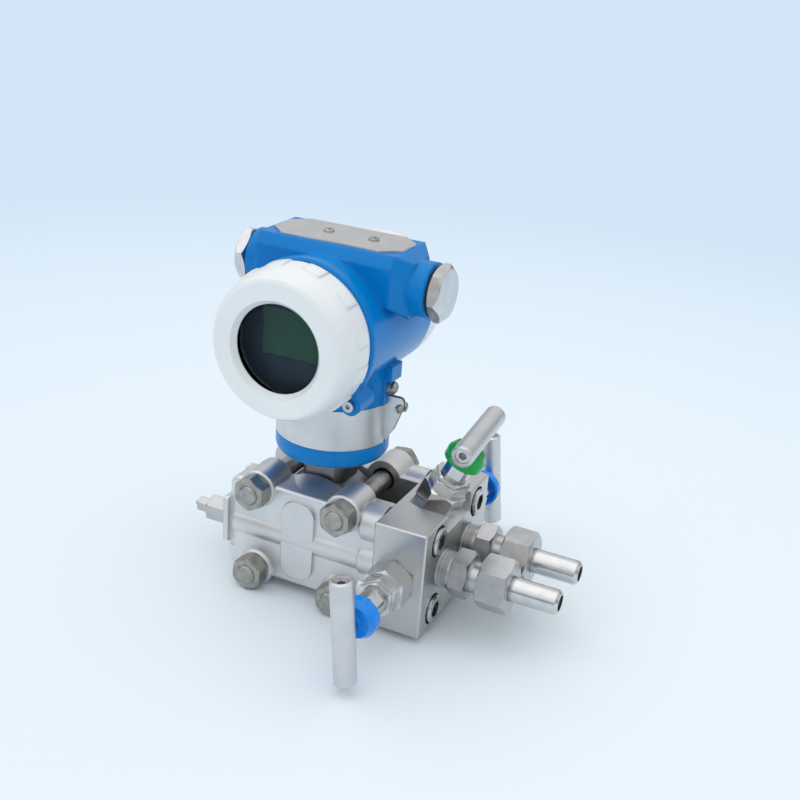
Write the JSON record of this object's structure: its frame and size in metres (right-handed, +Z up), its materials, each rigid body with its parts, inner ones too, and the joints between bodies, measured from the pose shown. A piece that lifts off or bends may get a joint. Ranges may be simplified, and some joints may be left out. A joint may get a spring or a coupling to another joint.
{
  "type": "differential pressure transmitter",
  "caption": "Field pressure transmitter head on a flanged differential cell, bolted to a valve manifold with T-bar needle valves and weld nipples.",
  "frame": {"origin": "middle of the manifold block's underside", "axes": "+X towards the process connections, +Z up, -Y the side that the display faces"},
  "size_m": [0.218, 0.212, 0.2032],
  "materials": {
    "machined_steel": "satin",
    "turned_steel": "polished",
    "satin_steel": "satin",
    "cast_steel": "bead blasted",
    "plated_steel": "nickel plated",
    "ptfe": "matte",
    "blue_plastic": "gloss",
    "green_plastic": "gloss",
    "seal_rubber": "matte",
    "blue_enamel": "gloss enamel",
    "white_enamel": "satin enamel",
    "window_glass": "polished",
    "dark_plastic": "satin",
    "screen_glass": "gloss",
    "circuit_board": "satin"
  },
  "bodies": {
    "process_body": {"manifold_block": "machined_steel", "manifold_screws": "plated_steel", "port_seals": "ptfe", "bonnet_front": "machined_steel", "bonnet_rear": "machined_steel", "bonnet_top": "machined_steel", "bonnet_lock_nuts": "machined_steel", "valve_packings": "ptfe", "packing_glands": "machined_steel", "flange_front": "cast_steel", "flange_rear": "cast_steel", "flange_bolts": "plated_steel", "flange_nuts": "plated_steel", "sensor_capsule": "machined_steel", "spigot_oring": "seal_rubber", "capsule_seals": "ptfe", "isolating_diaphragms": "machined_steel", "adapter_front": "turned_steel", "union_nut_front": "turned_steel", "weld_nipple_front": "turned_steel", "vent_seat_front": "machined_steel", "adapter_rear": "turned_steel", "union_nut_rear": "turned_steel", "weld_nipple_rear": "turned_steel", "vent_seat_rear": "machined_steel"},
    "head": {"housing": "blue_enamel", "label_band": "satin_steel", "band_screw": "plated_steel", "nameplate": "satin_steel", "nameplate_screws": "plated_steel", "conduit_plug_left": "machined_steel", "conduit_plug_right": "machined_steel", "plug_seals": "seal_rubber", "ground_screw": "plated_steel", "cover_lock_screws": "plated_steel", "display_module": "dark_plastic", "display_screen": "screen_glass", "electronics_board": "circuit_board", "terminal_block": "dark_plastic", "terminal_screws": "plated_steel"},
    "front_cover_seal": {"front_cover_oring": "seal_rubber"},
    "front_cover": {"front_cover": "white_enamel", "window_gasket": "seal_rubber", "window_glass": "window_glass", "window_retainer": "satin_steel"},
    "rear_cover_seal": {"rear_cover_oring": "seal_rubber"},
    "rear_cover": {"rear_cover": "white_enamel"},
    "front_cap": {"valve_cap_front": "blue_plastic"},
    "front_needle": {"stem_front": "machined_steel", "handle_front": "satin_steel"},
    "rear_cap": {"valve_cap_rear": "blue_plastic"},
    "rear_needle": {"stem_rear": "machined_steel", "handle_rear": "satin_steel"},
    "top_cap": {"valve_cap_top": "green_plastic"},
    "top_needle": {"stem_top": "machined_steel", "handle_top": "satin_steel"},
    "front_vent_screw": {"vent_screw_front": "machined_steel"},
    "rear_vent_screw": {"vent_screw_rear": "machined_steel"}
  },
  "joints": [
    {"name": "head_turn", "type": "hinge", "parent": "process_body", "child": "head", "pos_m": [-0.06475, 0, 0.0752], "axis": [0, 0, 1], "range_deg": [-180, 180]},
    {"name": "front_cover_advance", "type": "slide", "parent": "head", "child": "front_cover_seal", "axis": [0, -1, 0], "range_m": [0, 0.008]},
    {"name": "front_cover_turn", "type": "hinge", "parent": "front_cover_seal", "child": "front_cover", "pos_m": [-0.06475, 0, 0.153], "axis": [0, -1, 0], "range_deg": [0, 1440]},
    {"name": "rear_cover_advance", "type": "slide", "parent": "head", "child": "rear_cover_seal", "axis": [0, 1, 0], "range_m": [0, 0.008]},
    {"name": "rear_cover_turn", "type": "hinge", "parent": "rear_cover_seal", "child": "rear_cover", "pos_m": [-0.06475, 0, 0.153], "axis": [0, 1, 0], "range_deg": [0, 1440]},
    {"name": "front_valve_lift", "type": "slide", "parent": "process_body", "child": "front_cap", "axis": [0, -1, 0], "range_m": [-0.0045, 0]},
    {"name": "front_valve_turn", "type": "hinge", "parent": "front_cap", "child": "front_needle", "pos_m": [-0.002, -0.044, 0.031], "axis": [0, -1, 0], "range_deg": [-1620, 0]},
    {"name": "rear_valve_lift", "type": "slide", "parent": "process_body", "child": "rear_cap", "axis": [0, 1, 0], "range_m": [-0.0045, 0]},
    {"name": "rear_valve_turn", "type": "hinge", "parent": "rear_cap", "child": "rear_needle", "pos_m": [-0.002, 0.044, 0.031], "axis": [0, 1, 0], "range_deg": [-1620, 0]},
    {"name": "top_valve_lift", "type": "slide", "parent": "process_body", "child": "top_cap", "axis": [0.4067, 0, 0.9135], "range_m": [0, 0.0045]},
    {"name": "top_valve_turn", "type": "hinge", "parent": "top_cap", "child": "top_needle", "pos_m": [0.0005, 0, 0.0573], "axis": [0.4067, 0, 0.9135], "range_deg": [0, 1620]},
    {"name": "front_vent_turn", "type": "hinge", "parent": "process_body", "child": "front_vent_screw", "pos_m": [-0.1126, -0.027, 0.031], "axis": [-1, 0, 0], "range_deg": [0, 360]},
    {"name": "rear_vent_turn", "type": "hinge", "parent": "process_body", "child": "rear_vent_screw", "pos_m": [-0.1126, 0.027, 0.031], "axis": [-1, 0, 0], "range_deg": [0, 360]}
  ],
  "couplings": [
    {"joint": "front_cover_advance", "follows": "front_cover_turn", "m_per_rad": 0.00031831},
    {"joint": "rear_cover_advance", "follows": "rear_cover_turn", "m_per_rad": 0.00031831},
    {"joint": "front_valve_lift", "follows": "front_valve_turn", "m_per_rad": 0.00015915},
    {"joint": "rear_valve_lift", "follows": "rear_valve_turn", "m_per_rad": 0.00015915},
    {"joint": "top_valve_lift", "follows": "top_valve_turn", "m_per_rad": 0.00015915}
  ]
}
